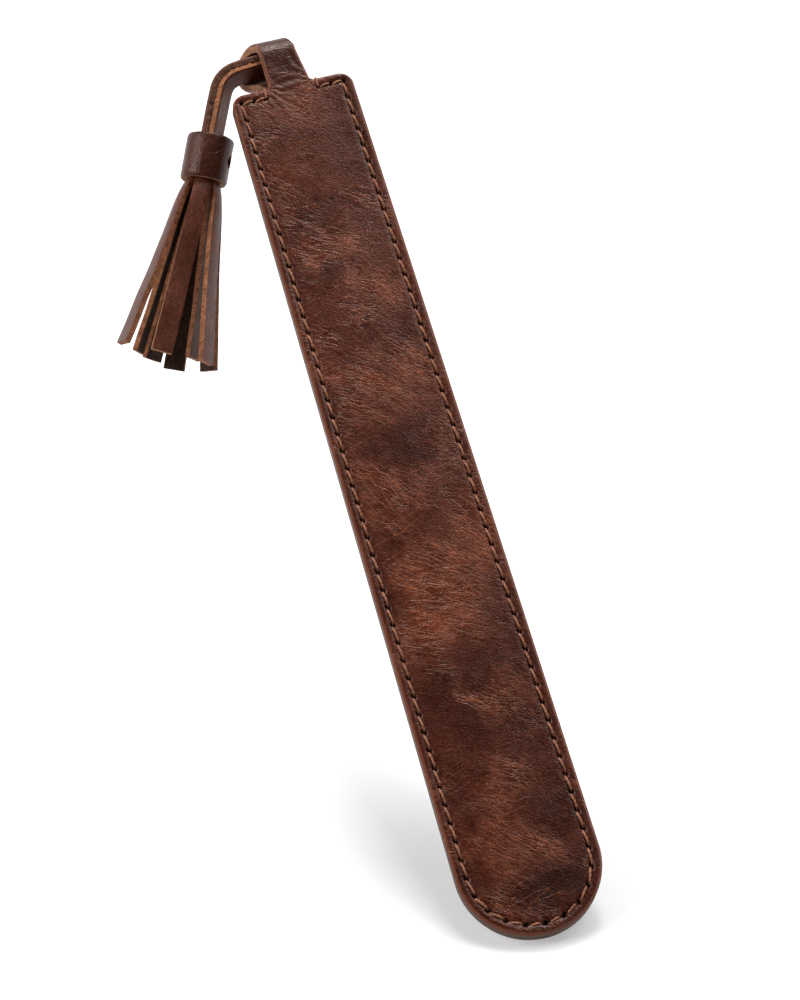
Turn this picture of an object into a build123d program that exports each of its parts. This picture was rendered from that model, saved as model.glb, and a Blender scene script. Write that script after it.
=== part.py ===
"""Leather bookmark: two stitched layers, a folded loop, a doubled lace and a tassel.

Millimetres. X runs across the bookmark, Z along it and up, and the front faces -Y.
The origin is the middle of the back face.
"""
import os
from math import asin, atan2, cos, degrees, hypot, radians, sin, tan

from build123d import *

os.makedirs("parts", exist_ok=True)

# Body: two layers of one outline, narrower at the top than at the round end, edges bevelled
body_length = 198.0
end_radius = 15.25
top_width = 27.3
corner_radius = 3.0
leather_thickness = 1.9
edge_bevel = 0.5

# Stitching: a groove on both faces, awl holes through both layers
stitch_inset = 2.2
stitch_pitch = 4.0
shoulder_stitches = 2
groove_width = 1.0
groove_depth = 0.6
hole_length = 1.2
hole_width = 0.9
thread_width = 0.8
thread_thickness = 0.5
thread_sink = 0.05
thread_dip = 0.3
thread_clearance = 0.1
wrap_gap = 0.4

# Tab: folded back over the top into a loop, its skived tail glued between the layers
tab_width = 9.0
crown_width = 8.0
neck_flare = 0.9
loop_height = 13.25
loop_bore_radius = 3.3
loop_return_radius = 2.0
loop_slant = 0.6
tail_thickness = 0.9
tail_length = 12.0
tail_clearance = 0.05
tail_seat = 0.25

# Lace: two flat strips, flesh to flesh, out of the loop's left mouth, each rolled about its front edge
lace_width = 4.2
lace_thickness = 1.5
lace_gap = 0.12
lace_outer_roll = 12.0
lace_inner_roll = 33.0
lace_rise = 1.15
lace_start = -0.3
lace_tuck = 4.4
lace_shift = 1.0

# Tassel: a wrapped leather sleeve that grips the lace and eight strands
tassel_lean = 12.0
tassel_tilt = 24.5
sleeve_top = (-19.22, -13.5)
sleeve_length = 9.25
sleeve_radius = 5.0
sleeve_wall = 1.2
sleeve_rim_round = 0.2
sleeve_seam = 0.15
sleeve_hole_radius = 1.5
sleeve_hole_azimuth = 96.0
strand_length = 40.5
strand_head = 4.0
strand_head_width = 2.3
strand_tip_width = 4.6
strand_thickness = 1.2
strand_bend_radius = 32.0
strand_clearance = 0.06

# Strands as azimuth from the front towards the right, splay and spare length
outer_strands = [(0, 5, 0), (62, 12, 1.0), (120, 13, 1.6), (177, 9, 1.2), (233, 10, -0.6), (289, 15, -1.5)]
inner_strands = [(92, 5, -0.4), (212, 7, 0.6)]

# Levels worked out from the sizes above
body_thickness = 2 * leather_thickness
top_z = body_length / 2
end_z = end_radius - body_length / 2
stitch_top_z = top_z - stitch_inset
neck_x = tab_width / 2 + neck_flare + groove_width / 2
taper = asin(end_radius / hypot(top_width / 2, top_z - end_z)) - atan2(top_width / 2, top_z - end_z)
taper_degrees = degrees(taper)

back_face = Plane.XZ
middle = Plane.XZ.offset(leather_thickness)
front_face = Plane.XZ.offset(body_thickness)


def side_x(z, inset):
    """Half width of the outline at a height, drawn in from its edge by the inset."""
    return (end_radius - inset - (z - end_z) * sin(taper)) / cos(taper)


def panel_face():
    """Outline of one layer: round end, straight tapered sides, rounded shoulders."""
    with BuildLine() as outline:
        end = CenterArc((0, end_z), end_radius, 180 - taper_degrees, 180 + 2 * taper_degrees)
        Polyline(end @ 1, (top_width / 2, top_z), (-top_width / 2, top_z), end @ 0)
    make_face(outline.edges())
    fillet(vertices().group_by(Axis.Y)[-1], corner_radius)


# Stitch line, as five runs from the left side of the tab round to its right side
corner_x = side_x(stitch_top_z, stitch_inset)
stitch_end_radius = end_radius - stitch_inset
with BuildLine() as stitch_line:
    end_run = CenterArc((0, end_z), stitch_end_radius, 180 - taper_degrees, 180 + 2 * taper_degrees)
    left_shoulder = Line((-neck_x, stitch_top_z), (-corner_x, stitch_top_z))
    left_run = Line(left_shoulder @ 1, end_run @ 0)
    right_run = Line(end_run @ 1, (corner_x, stitch_top_z))
    right_shoulder = Line(right_run @ 1, (neck_x, stitch_top_z))
with BuildLine() as wrap_lines:
    for side in (-1, 1):
        Line((side * neck_x, stitch_top_z), (side * neck_x, top_z))

holes = []
for run in (left_shoulder, left_run, end_run, right_run, right_shoulder):
    on_shoulder = run in (left_shoulder, right_shoulder)
    count = shoulder_stitches if on_shoulder else round(run.length / stitch_pitch)
    for step in range(count):
        heading = run % (step / count)
        holes.append(Location(run @ (step / count), (0, 0, degrees(atan2(heading.Y, heading.X)))))
holes.append(Location(right_shoulder @ 1))
print("stitch holes", len(holes))


def stitch_cuts(face, inwards):
    """Groove, awl holes and edge notches of one layer, cut from its outer face."""
    with BuildSketch(face) as grooves:
        trace(stitch_line.line, groove_width)
        trace(wrap_lines.line, groove_width)
    extrude(grooves.sketch, amount=inwards * groove_depth, mode=Mode.SUBTRACT)
    with BuildSketch(face) as openings:
        with Locations(*holes):
            Rectangle(hole_length, hole_width)
        with Locations((-neck_x, top_z), (neck_x, top_z)):
            Rectangle(groove_width, 2 * groove_depth)
    extrude(openings.sketch, amount=inwards * leather_thickness, mode=Mode.SUBTRACT)


def thread_run(face, inwards):
    """Thread in the groove of one face, with a dip over each hole."""
    with BuildSketch(face.offset(inwards * thread_sink)) as ribbon:
        trace(stitch_line.line, thread_width)
    extrude(ribbon.sketch, amount=inwards * thread_thickness)
    with BuildSketch(face.offset(inwards * thread_sink)) as dips:
        with Locations(*holes):
            Rectangle(hole_length - 2 * thread_clearance, groove_width)
    extrude(dips.sketch, amount=inwards * thread_dip, mode=Mode.SUBTRACT)


# Loop, as a strip bent in the YZ plane: up the front, over, and back in between the layers
strip_y = -body_thickness + leather_thickness / 2
crown_radius = loop_bore_radius + leather_thickness / 2
loop_y = strip_y + crown_radius
loop_z = top_z + loop_height - crown_radius - leather_thickness / 2
tail_y = -leather_thickness / 2
tail_z = top_z + tail_seat
return_dy = tail_y + loop_return_radius - loop_y
return_dz = tail_z - loop_z
return_turn = asin((crown_radius + loop_return_radius) / hypot(return_dy, return_dz))
return_heading = degrees(atan2(return_dz, return_dy) - return_turn)
crown_turn = 90 - return_heading
return_length = hypot(return_dy, return_dz) * cos(return_turn)
slant_start = -leather_thickness
loop_back_y = loop_y + crown_radius + leather_thickness
tab_low_z = top_z - tail_length
tab_high_z = top_z + loop_height
slanted_run = (loop_back_y - slant_start) * hypot(1, loop_slant)

# Tab as the front shows it, narrowed from the right towards the crown, drifting left behind the front layer
with BuildPart() as tab_reach:
    for face, run, heading in (
        (front_face, leather_thickness, (0, 1, 0)),
        (middle, slanted_run, (-loop_slant, 1, 0)),
    ):
        with BuildSketch(face):
            Polygon(
                (-tab_width / 2, tab_low_z),
                (tab_width / 2, tab_low_z),
                (tab_width / 2, top_z + neck_flare),
                (crown_width - tab_width / 2, loop_z),
                (crown_width - tab_width / 2, tab_high_z),
                (-tab_width / 2, tab_high_z),
                align=None,
            )
        extrude(amount=run, dir=Vector(*heading).normalized())

with BuildPart() as loop_strip:
    with BuildSketch(Plane.YZ):
        with BuildLine():
            front_leg = Line((strip_y, top_z - neck_flare), (strip_y, loop_z))
            crown = JernArc(front_leg @ 1, front_leg % 1, crown_radius, -crown_turn)
            back_leg = PolarLine(crown @ 1, return_length, return_heading)
            JernArc(back_leg @ 1, back_leg % 1, loop_return_radius, -90 - return_heading)
        trace(line_width=leather_thickness)
        with Locations((-leather_thickness, top_z - tail_length)):
            Rectangle(tail_thickness, tail_length + tail_seat, align=(Align.MIN, Align.MIN))
    extrude(amount=2 * tab_width, both=True)
    add(tab_reach.part, mode=Mode.INTERSECT)

# Front layer, in one piece with the tab and its loop
with BuildPart() as front_panel:
    with BuildSketch(middle):
        panel_face()
    extrude(amount=leather_thickness)
    chamfer(faces().sort_by(Axis.Y)[0].edges(), edge_bevel)
    with BuildSketch(middle):
        with BuildLine():
            foot = neck_x - groove_width / 2
            base = Polyline(
                (-foot, top_z), (-foot, top_z - 2 * edge_bevel), (foot, top_z - 2 * edge_bevel), (foot, top_z)
            )
            right_flare = RadiusArc(base @ 1, (tab_width / 2, top_z + neck_flare), neck_flare)
            top_of_neck = Line(right_flare @ 1, (-tab_width / 2, top_z + neck_flare))
            RadiusArc(top_of_neck @ 1, base @ 0, neck_flare)
        make_face()
    extrude(amount=leather_thickness)
    add(loop_strip.part)
    stitch_cuts(front_face, -1)
front_panel.part.label = "front_panel"
export_step(front_panel.part, "parts/front_panel.step")

# Back layer, skived on its inside where the loop's tail lies
pocket_left = tab_width / 2 + loop_slant * tail_thickness + tail_clearance
pocket_right = tab_width / 2 + tail_clearance
with BuildPart() as back_panel:
    with BuildSketch(back_face):
        panel_face()
    extrude(amount=leather_thickness)
    chamfer(faces().sort_by(Axis.Y)[-1].edges(), edge_bevel)
    with BuildSketch(middle):
        with Locations((-pocket_left, top_z - tail_length - tail_clearance)):
            Rectangle(pocket_left + pocket_right, 2 * tail_length, align=(Align.MIN, Align.MIN))
    extrude(amount=-tail_thickness - tail_clearance, mode=Mode.SUBTRACT)
    stitch_cuts(back_face, 1)
back_panel.part.label = "back_panel"
export_step(back_panel.part, "parts/back_panel.step")

# Front thread, with a leg down each hole to the back thread; it also wraps over the edge beside the tab
leg_length = body_thickness - 2 * thread_sink - 2 * thread_thickness - thread_clearance
with BuildPart() as front_thread:
    thread_run(front_face, -1)
    with BuildSketch(front_face.offset(-thread_sink - thread_thickness)):
        with Locations(*holes):
            Rectangle(hole_length - 2 * thread_clearance, hole_width - 2 * thread_clearance)
    extrude(amount=-leg_length)
    for side in (-1, 1):
        with BuildSketch(Plane.YZ.offset(side * neck_x)):
            with Locations((-body_thickness / 2, stitch_top_z)):
                Rectangle(
                    body_thickness - 2 * thread_sink,
                    stitch_inset - thread_sink,
                    align=(Align.CENTER, Align.MIN),
                )
                Rectangle(
                    body_thickness - 2 * thread_sink - 2 * thread_thickness,
                    stitch_inset - thread_sink - thread_thickness,
                    align=(Align.CENTER, Align.MIN),
                    mode=Mode.SUBTRACT,
                )
            with Locations((0, stitch_top_z)):
                Rectangle(body_thickness, 2 * (hole_width / 2 + wrap_gap), mode=Mode.SUBTRACT)
        extrude(amount=thread_width / 2, both=True)
front_thread.part.label = "front_thread"
export_step(front_thread.part, "parts/front_thread.step")

with BuildPart() as back_thread:
    thread_run(back_face, 1)
back_thread.part.label = "back_thread"
export_step(back_thread.part, "parts/back_thread.step")

# Plane of the lace and tassel, leaning back from the body about the loop's bore
lean_cos = cos(radians(tassel_lean))
lean_sin = sin(radians(tassel_lean))
lace_plane = Plane(origin=(0, loop_y, loop_z), x_dir=(1, 0, 0), z_dir=(0, -lean_cos, -lean_sin))
axis_x = -sin(radians(tassel_tilt))
axis_y = -cos(radians(tassel_tilt))


def along_sleeve(distance):
    """Point on the sleeve's axis, measured down from its top rim, in the lace's plane."""
    return (sleeve_top[0] + axis_x * distance, sleeve_top[1] + axis_y * distance)


def beside_axis(distance):
    """Point of the seam between the strips, which lies left of the sleeve's axis."""
    on_axis = along_sleeve(distance)
    return (on_axis[0] + axis_y * lace_shift, on_axis[1] - axis_x * lace_shift)


# Route of the seam between the strips in the lace's plane, chosen by eye from the loop to the sleeve
lace_route = [(lace_start, lace_rise), (-9.6, lace_rise), (-13.9, -0.6), beside_axis(-9.5), beside_axis(lace_tuck)]
lace_radii = []
for before, here, after in zip(lace_route, lace_route[1:], lace_route[2:]):
    run_in = Vector(*here) - Vector(*before)
    run_out = Vector(*after) - Vector(*here)
    half_turn = radians(run_in.get_angle(run_out)) / 2
    lace_radii.append(0.45 * min(run_in.length, run_out.length) / tan(half_turn))
print("lace radii", [round(radius, 1) for radius in lace_radii])

for name, side, roll, hold in (
    ("lace_outer", 1, lace_outer_roll, Align.MIN),
    ("lace_inner", -1, lace_inner_roll, Align.MAX),
):
    with BuildPart() as lace:
        with BuildLine(lace_plane) as route:
            FilletPolyline(*lace_route, radius=lace_radii)
        with BuildSketch(Plane(origin=route.line @ 0, x_dir=lace_plane.z_dir, z_dir=route.line % 0)):
            with Locations((lace_width / 2, side * lace_gap / 2)):
                Rectangle(lace_width, lace_thickness, rotation=roll, align=(Align.MAX, hold))
        sweep()
    lace.part.label = name
    export_step(lace.part, f"parts/{name}.step")
    print(name, "length", round(route.wires()[0].length, 1), "volume", round(lace.part.volume, 1))

# Sleeve, a band wrapped to a ring with its butt seam at the back and one punched hole
mouth = lace_plane.from_local_coords(Vector(*along_sleeve(sleeve_length)))
mouth_axis = lace_plane.from_local_coords(Vector(*along_sleeve(sleeve_length + 1))) - mouth
mouth_right = mouth_axis.cross(lace_plane.z_dir) * -1
mouth_plane = Plane(origin=mouth, x_dir=mouth_right, z_dir=mouth_axis)


def radial_plane(azimuth, height):
    """Plane across the sleeve, facing out at an azimuth from the front towards the right."""
    out = mouth_plane.x_dir * sin(radians(azimuth)) + mouth_plane.y_dir * cos(radians(azimuth))
    return Plane(origin=mouth + mouth_axis * height, x_dir=mouth_axis.cross(out), z_dir=out)


with BuildPart() as sleeve:
    with BuildSketch(mouth_plane):
        Circle(sleeve_radius)
        Circle(sleeve_radius - sleeve_wall, mode=Mode.SUBTRACT)
        Rectangle(sleeve_seam, 2 * sleeve_radius, align=(Align.CENTER, Align.MAX), mode=Mode.SUBTRACT)
    extrude(amount=-sleeve_length)
    rims = edges().filter_by(GeomType.CIRCLE).sort_by(SortBy.RADIUS)[-2:]
    chamfer(rims, sleeve_rim_round)
    with BuildSketch(radial_plane(sleeve_hole_azimuth, -sleeve_length / 2)):
        Circle(sleeve_hole_radius)
    extrude(amount=sleeve_radius, mode=Mode.SUBTRACT)
sleeve.part.label = "sleeve"
export_step(sleeve.part, "parts/sleeve.step")

# Strands, tapered strips that leave the sleeve along its axis and splay outwards
bore_radius = sleeve_radius - sleeve_wall - strand_clearance
outer_ring = bore_radius * cos(asin(strand_head_width / 2 / bore_radius)) - strand_thickness / 2
inner_face = outer_ring - strand_thickness / 2 - strand_clearance
inner_ring = inner_face * cos(asin(strand_head_width / 2 / inner_face)) - strand_thickness / 2
strands = [(outer_ring, *strand) for strand in outer_strands]
strands += [(inner_ring, *strand) for strand in inner_strands]
for number, (ring, azimuth, splay, spare) in enumerate(strands, 1):
    out = radial_plane(azimuth, 0)
    length = strand_length + spare
    with BuildPart() as strand:
        with BuildSketch(Plane(origin=mouth, x_dir=out.z_dir, z_dir=out.z_dir.cross(mouth_axis))):
            with BuildLine():
                head = Line((ring, -strand_head), (ring, 0))
                bend = JernArc(head @ 1, head % 1, strand_bend_radius, -splay)
                PolarLine(bend @ 1, length - bend.length, 90 - splay)
            trace(line_width=strand_thickness)
        extrude(amount=strand_tip_width, both=True)
        with BuildSketch(Plane(origin=mouth, x_dir=out.x_dir, z_dir=out.z_dir)):
            Polygon(
                (strand_head_width / 2, -strand_head),
                (strand_head_width / 2, 0),
                (strand_tip_width / 2, length),
                (-strand_tip_width / 2, length),
                (-strand_head_width / 2, 0),
                (-strand_head_width / 2, -strand_head),
                align=None,
            )
        extrude(amount=strand_length, mode=Mode.INTERSECT)
    strand.part.label = f"strand_{number}"
    export_step(strand.part, f"parts/strand_{number}.step")
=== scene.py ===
# %% [markdown]
# # A leather bookmark with a loop, a lace and a tassel
#
# The real bookmark is hand work: two strips of waxed leather sewn edge to edge, a tab folded over into a
# loop, a doubled lace through it, and a short tassel in a leather sleeve. The frame gives the place and size
# of every piece, and this lesson dresses each one. Pieces are shaped in millimetres, as a maker measures
# them, and scaled to metres when they are done.

# %% The frame
from math import asin, atan2, cos, hypot, pi, radians, sin, tau

import bmesh
import bpy
import numpy as np
from mathutils import Matrix, Vector, noise


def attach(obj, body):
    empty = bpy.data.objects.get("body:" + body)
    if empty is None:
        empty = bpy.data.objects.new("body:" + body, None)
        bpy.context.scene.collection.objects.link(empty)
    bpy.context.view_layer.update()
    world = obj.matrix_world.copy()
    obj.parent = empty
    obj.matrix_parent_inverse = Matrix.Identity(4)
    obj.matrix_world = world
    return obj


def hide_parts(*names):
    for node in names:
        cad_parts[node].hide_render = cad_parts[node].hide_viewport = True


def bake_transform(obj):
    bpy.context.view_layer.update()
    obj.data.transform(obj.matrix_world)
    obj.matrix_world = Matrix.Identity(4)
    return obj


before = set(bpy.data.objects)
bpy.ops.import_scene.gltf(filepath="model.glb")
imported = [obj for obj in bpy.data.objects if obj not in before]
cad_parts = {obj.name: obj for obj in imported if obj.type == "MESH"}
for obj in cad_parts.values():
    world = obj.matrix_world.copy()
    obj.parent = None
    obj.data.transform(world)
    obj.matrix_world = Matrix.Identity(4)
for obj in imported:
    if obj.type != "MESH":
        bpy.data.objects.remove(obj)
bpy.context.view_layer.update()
MM = 0.001
print("nodes", sorted(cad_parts))

# %% [markdown]
# ## Camera
#
# The camera comes first, because everything is judged through it. It stands low in front of the bookmark and
# a little to its left, rolled so that the strip leans across the picture. Its place was worked out from the
# stitch holes, whose spacing is known.

# %% Camera
camera_eye = Vector((-121.76, -750.45, -262.92)) * MM
camera_right = Vector((0.95991, -0.05573, -0.27470)).normalized()
camera_up = Vector((0.23815, -0.35471, 0.90414)).normalized()
camera_back = camera_right.cross(camera_up)
focal_pixels = 3799
image_height = 1000

bpy.ops.object.select_all(action="DESELECT")
bpy.ops.object.camera_add()
camera = bpy.context.object
camera.data.lens = camera.data.sensor_width * focal_pixels / image_height
camera.matrix_world = Matrix((camera_right, camera_up, camera_back)).transposed().to_4x4()
camera.location = camera_eye
bpy.context.scene.camera = camera
print("lens", round(camera.data.lens, 1))

# %% [markdown]
# ## Node helpers
#
# Table, backdrop and finishes are all node trees. A few short functions add a node with its values and links,
# give the sums and noises that come back everywhere a plain name, and make and place the node groups that
# several finishes share. Coordinates are in metres, so 1000 cells to the metre are one to the millimetre.

# %% Nodes and sums
def put(tree, kind, inputs=None, **settings):
    """Adds a node, sets its properties, and fills its inputs with values or links."""
    made = tree.nodes.new("ShaderNode" + kind)
    for key, value in settings.items():
        setattr(made, key, value)
    for key, value in (inputs or {}).items():
        if isinstance(value, bpy.types.NodeSocket):
            tree.links.new(value, made.inputs[key])
        else:
            made.inputs[key].default_value = value
    return made


def calculate(tree, operation, *values):
    """A math node's output."""
    return put(tree, "Math", dict(enumerate(values)), operation=operation).outputs[0]


def times(tree, first, second):
    """The product of two values."""
    return calculate(tree, "MULTIPLY", first, second)


def plus(tree, first, second):
    """The sum of two values."""
    return calculate(tree, "ADD", first, second)


def larger(tree, first, second):
    """The larger of two values."""
    return calculate(tree, "MAXIMUM", first, second)


def vector(tree, operation, first, second=(0, 0, 0)):
    """A vector math node's output, which is a plain value for lengths and dot products."""
    key = "Scale" if operation == "SCALE" else 1
    made = put(tree, "VectorMath", {0: first, key: second}, operation=operation)
    return made.outputs["Value" if operation in ("LENGTH", "DISTANCE", "DOT_PRODUCT") else "Vector"]


# %% Noises, mixes and groups
def spread(tree, value, low, high, to_low=0.0, to_high=1.0):
    """A value eased from one range to another."""
    settings = {"Value": value, "From Min": low, "From Max": high, "To Min": to_low, "To Max": to_high}
    return put(tree, "MapRange", settings, interpolation_type="SMOOTHSTEP").outputs["Result"]


def mix(tree, amount, first, second, blend="MIX"):
    """A mix of two colours."""
    colours = {"Fac": amount, "Color1": first, "Color2": second}
    return put(tree, "MixRGB", colours, blend_type=blend).outputs["Color"]


def shade(tree, colour, value):
    """A colour made darker or lighter by a value."""
    grey = put(tree, "CombineColor", {0: value, 1: value, 2: value}).outputs[0]
    return mix(tree, 1.0, colour, grey, "MULTIPLY")


def cloud(tree, spot, cells, detail=2.0, roughness=0.5, distortion=0.0, output="Fac"):
    """A noise with so many cells to the metre, as values or as colours."""
    settings = {"Vector": spot, "Scale": cells, "Detail": detail, "Roughness": roughness}
    return put(tree, "TexNoise", settings | {"Distortion": distortion}).outputs[output]


def wander(tree, spot, cells, detail, reach):
    """A noise's push to and fro, which lets a pattern wander by about the reach."""
    push = cloud(tree, spot, cells, detail, output="Color")
    return vector(tree, "SCALE", vector(tree, "SUBTRACT", push, (0.5, 0.5, 0.5)), reach)


def turn_round_y(tree, spot, angle):
    """Coordinates turned in the plane of the body's faces."""
    return put(tree, "VectorRotate", {"Vector": spot, "Angle": angle}, rotation_type="Y_AXIS").outputs[0]


def new_group(name, values, outputs):
    """A node group over coordinates, with named values in and out, and its sockets inside."""
    group = bpy.data.node_groups.new(name, "ShaderNodeTree")
    group.interface.new_socket("Vector", in_out="INPUT", socket_type="NodeSocketVector")
    for label, value in values.items():
        socket = group.interface.new_socket(label, in_out="INPUT", socket_type="NodeSocketFloat")
        socket.default_value = value
    for label in outputs:
        group.interface.new_socket(label, in_out="OUTPUT", socket_type="NodeSocketFloat")
    return group, group.nodes.new("NodeGroupInput").outputs, group.nodes.new("NodeGroupOutput").inputs


def place(tree, group, inputs):
    """Places a node group in a material and returns its outputs."""
    return put(tree, "Group", inputs, node_tree=group).outputs


# %% [markdown]
# ## Stage and light
#
# The bookmark stands on its round end on a pale table, which the camera looks down on. The table is one big
# plane that is seen from above only, so views from behind are not blocked. It keeps a soft shadow at the
# foot: the lamps light it, and a white glow that only looking rays see lifts it to paper white, more so
# further out.

# %% Table
table_angle = 35.0
table_size = 4.0
table_up = (camera_up * cos(radians(table_angle)) + camera_back * sin(radians(table_angle))).normalized()
corners = [vertex.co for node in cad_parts.values() for vertex in node.data.vertices]
foot = min(corners, key=table_up.dot)

bpy.ops.object.select_all(action="DESELECT")
bpy.ops.mesh.primitive_plane_add(size=table_size)
table = bpy.context.object
table.name = "table"
table.rotation_mode = "QUATERNION"
table.rotation_quaternion = table_up.to_track_quat("Z", "Y")
table.location = table_up * table_up.dot(foot)
bpy.ops.object.transform_apply(location=True, rotation=True, scale=True)
print("table touches at", [round(value / MM, 1) for value in foot])

# %% Table paper
table_shade = 0.54
glow_near, glow_far = 0.40, 0.72
fade_start, fade_end = 0.020, 0.072
shadow_left = 0.014


def looking_rays(tree):
    """Rays from the camera itself, and rays that reach it by a mirror or through glass."""
    rays = put(tree, "LightPath").outputs
    return rays["Is Camera Ray"], larger(tree, rays["Is Glossy Ray"], rays["Is Transmission Ray"])


paper = bpy.data.materials.new("table_paper")
paper.use_nodes = True
tree = paper.node_tree
tree.nodes.clear()
direct, mirrored = looking_rays(tree)
spot = put(tree, "TexCoord").outputs["Object"]
away = vector(tree, "DISTANCE", spot, foot - camera_right * shadow_left)
glow_out = spread(tree, away, fade_start, fade_end, glow_near, glow_far)
strength = times(tree, larger(tree, direct, mirrored), glow_out)
glow = put(tree, "Emission", {"Strength": strength}).outputs[0]
diffuse = put(tree, "BsdfDiffuse", {"Color": (table_shade, table_shade, table_shade, 1)}).outputs[0]
lit = put(tree, "AddShader", {0: diffuse, 1: glow}).outputs[0]
clear = put(tree, "BsdfTransparent").outputs[0]
backfacing = put(tree, "NewGeometry").outputs["Backfacing"]
one_sided = put(tree, "MixShader", {"Fac": backfacing, 1: lit, 2: clear}).outputs[0]
put(tree, "OutputMaterial", {"Surface": one_sided})
table.data.materials.append(paper)
print("table glow", glow_near, "to", glow_far)

# %% [markdown]
# The backdrop behind is white in the same way, and the room in front stays dim, so the leather's sheen comes
# from the lamps: a large soft one above, another at the left that models the sleeve, a strip overhead for the
# crown of the loop, and a small one at the right whose mirror image greys the upper part of the front.

# %% Backdrop
world_fill = 0.10
world = bpy.data.worlds.new("studio")
bpy.context.scene.world = world
world.use_nodes = True
tree = world.node_tree
direct, mirrored = looking_rays(tree)
heading = put(tree, "TexCoord").outputs["Generated"]
ahead = vector(tree, "DOT_PRODUCT", heading, -camera_back)
white = larger(tree, direct, times(tree, mirrored, calculate(tree, "GREATER_THAN", ahead, 0.0)))
dim_room = times(tree, calculate(tree, "LESS_THAN", mirrored, 0.5), world_fill)
backdrop = tree.nodes["Background"].inputs
backdrop["Color"].default_value = (1, 1, 1, 1)
tree.links.new(larger(tree, white, dim_room), backdrop["Strength"])
print("room fill", world_fill)

# %% Lamps
# Each lamp has its direction (right, up and back as the camera sees it), its size in metres and its watts.
lamp_distance = 2.0
lamps = {
    "key_softbox": (0.40, 0.90, 0.12, 2.4, 14.0),
    "left_softbox": (-0.80, 0.42, 0.50, 1.0, 23.0),
    "top_strip": (0.05, 1.00, 0.08, 0.6, 24.0),
    "right_softbox": (0.45, 0.85, 0.30, 0.8, 10.0),
}
for name, (right, up, back, size, watts) in lamps.items():
    aim = (camera_right * right + camera_up * up + camera_back * back).normalized()
    bpy.ops.object.light_add(type="AREA", location=aim * lamp_distance)
    lamp = bpy.context.object
    lamp.name = name
    lamp.data.size = size
    lamp.data.energy = watts
    lamp.rotation_mode = "QUATERNION"
    lamp.rotation_quaternion = aim.to_track_quat("Z", "Y")

bpy.context.scene.view_settings.view_transform = "Standard"
print("lamps", *lamps)

# %% [markdown]
# ## Shared finishes
#
# All the leather comes from one hide, so its effects are node groups that each material places with its own
# values: a net of fine creases, pebbled grain, and the loose fibres of a cut edge.
#
# Creases are the folds that a hide keeps from the animal and from handling. Seen close they are fine wavy
# lines that run side by side and flow into each other. The level lines of a noise that is stretched along the
# creases look just so: the group lets the coordinates sway, turns and stretches them, and gives a thin band
# round the middle level. A wider noise on the same coordinates gathers the lines into bundles.

# %% Creases
sway_cells, stir_cells = 26.0, 140.0
bundle_cells = 0.16
crease_group, crease_in, crease_out = new_group(
    "hide_creases",
    {"Turn": 0.0, "Along": 170.0, "Across": 1250.0, "Sway": 0.012, "Stir": 0.0022, "Width": 0.055},
    ["Lines", "Bundles"],
)
tree = crease_group
spot = crease_in["Vector"]
swayed = vector(tree, "ADD", spot, wander(tree, spot, sway_cells, 1.0, crease_in["Sway"]))
stirred = vector(tree, "ADD", swayed, wander(tree, spot, stir_cells, 3.5, crease_in["Stir"]))
turned = turn_round_y(tree, stirred, crease_in["Turn"])
cells = {"X": crease_in["Along"], "Y": crease_in["Along"], "Z": crease_in["Across"]}
stretched = vector(tree, "MULTIPLY", turned, put(tree, "CombineXYZ", cells).outputs[0])
level = calculate(tree, "ABSOLUTE", calculate(tree, "SUBTRACT", cloud(tree, stretched, 1.0, 1.2), 0.5))
tree.links.new(spread(tree, level, 0.0, crease_in["Width"], 1.0, 0.0), crease_out["Lines"])
bundles = cloud(tree, vector(tree, "SCALE", stretched, bundle_cells), 1.0)
tree.links.new(spread(tree, bundles, 0.36, 0.62), crease_out["Bundles"])
print("creases", len(tree.nodes), "nodes")

# %% [markdown]
# Grain is what is left of the hide's surface: rounded pebbles, drawn out a little along the creases, with
# pores between them. Smooth Voronoi cells on shaken coordinates give the pebbles, and a fine noise the pores.

# %% Grain
shake_cells, shake_reach = 900.0, 0.0006
pore_cells = 3400.0
pebble_stretch = (0.55, 1.0, 1.0)
grain_group, grain_in, grain_out = new_group(
    "hide_grain", {"Turn": 0.0, "Pebbles": 2500.0}, ["Height", "Tone"])
tree = grain_group
spot = grain_in["Vector"]
shaken = vector(tree, "SCALE", cloud(tree, spot, shake_cells, output="Color"), shake_reach)
turned = turn_round_y(tree, vector(tree, "ADD", spot, shaken), grain_in["Turn"])
drawn = vector(tree, "MULTIPLY", turned, pebble_stretch)
settings = {"Vector": drawn, "Scale": grain_in["Pebbles"], "Smoothness": 0.35}
pebbles = put(tree, "TexVoronoi", settings, feature="SMOOTH_F1").outputs["Distance"]
pores = cloud(tree, spot, pore_cells)
rounded = calculate(tree, "MULTIPLY_ADD", pebbles, -1.0, 0.9)
tree.links.new(plus(tree, rounded, times(tree, pores, 0.35)), grain_out["Height"])
tree.links.new(pores, grain_out["Tone"])
print("grain", len(tree.nodes), "nodes")

# %% [markdown]
# Cut edges and the flesh side show fibres instead of grain: short streaks that run with the cut, with pale
# tips and dark gaps. Two noises, one coarse and drawn out, one fine, give both.

# %% Fibres
fuzz_finer = 3.7
fibre_group, fibre_in, fibre_out = new_group("loose_fibres", {"Scale": 900.0}, ["Streaks", "Fuzz"])
tree = fibre_group
spot = fibre_in["Vector"]
streaks = cloud(tree, spot, fibre_in["Scale"], 4.0, 0.7, 0.6)
fuzz = cloud(tree, spot, times(tree, fibre_in["Scale"], fuzz_finer), 3.0, 0.65)
tree.links.new(spread(tree, streaks, 0.3, 0.72), fibre_out["Streaks"])
tree.links.new(fuzz, fibre_out["Fuzz"])
print("fibres", len(tree.nodes), "nodes")
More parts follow.
